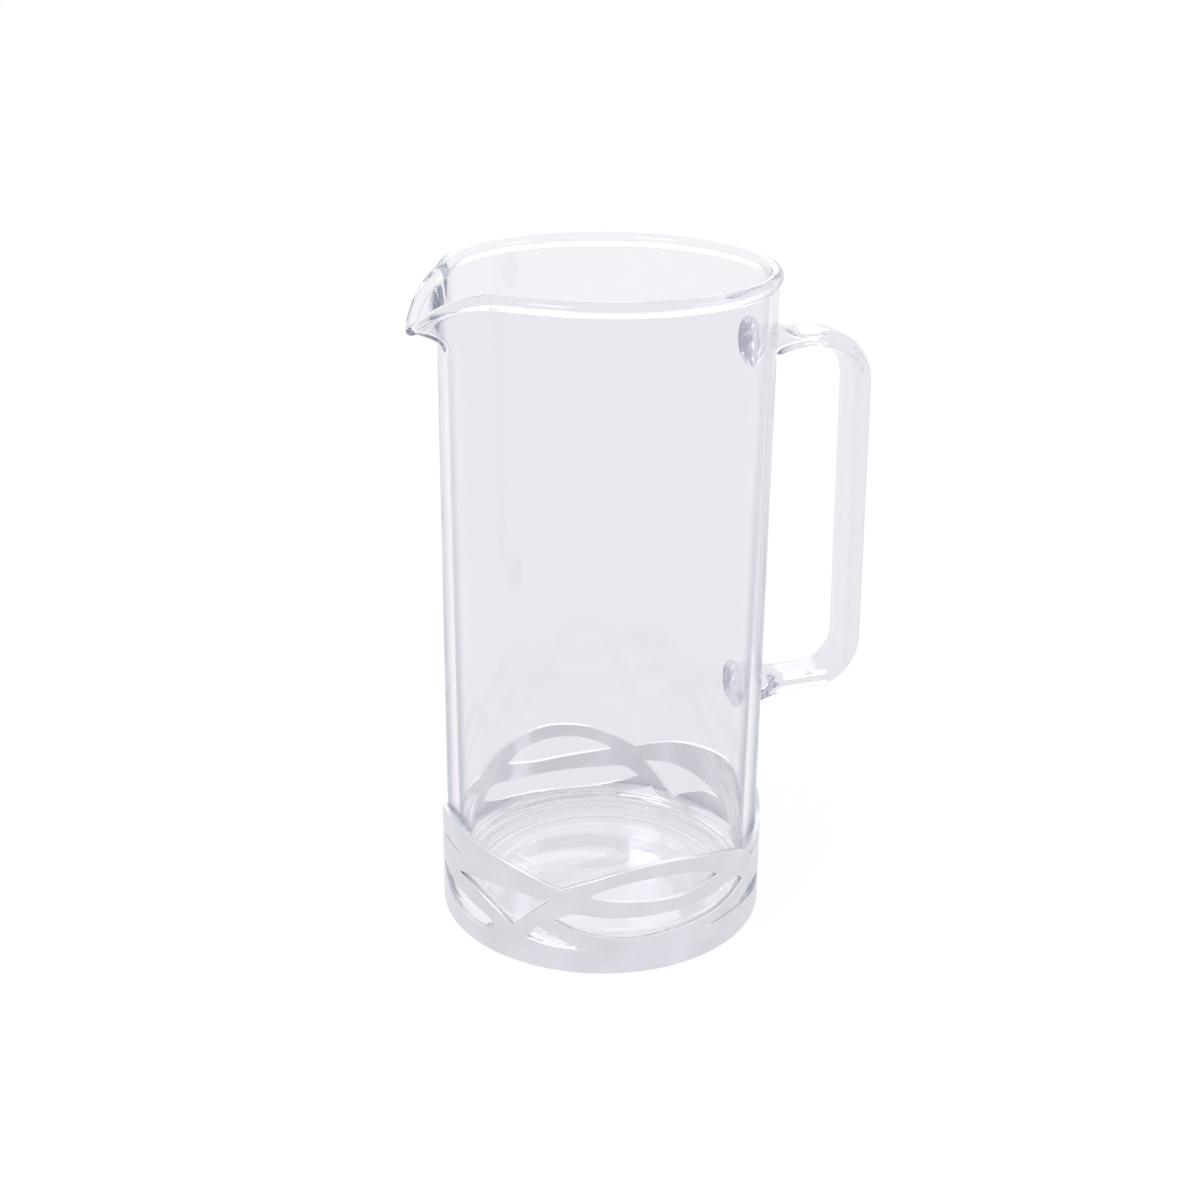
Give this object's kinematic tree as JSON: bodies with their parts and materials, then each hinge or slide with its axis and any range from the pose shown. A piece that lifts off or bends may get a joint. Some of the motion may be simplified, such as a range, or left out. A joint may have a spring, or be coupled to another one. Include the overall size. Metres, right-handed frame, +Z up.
{
  "type": "carafe",
  "caption": "Tall straight clear glass carafe with a pulled pouring lip, a welded flat strap handle and an openwork satin-silver wave sleeve around its foot.",
  "frame": {"origin": "on the vessel's axis, in the plane of the resting face", "axes": "+Z up along the vessel's axis; +X towards the handle, so that the pouring lip points to -X"},
  "size_m": [0.1542, 0.1066, 0.215],
  "materials": {
    "vessel_glass": "clear, polished",
    "handle_glass": "clear, polished",
    "satin_silver": "satin"
  },
  "bodies": {
    "root": {"vessel": "vessel_glass", "handle": "handle_glass", "sleeve": "satin_silver"}
  },
  "joints": []
}
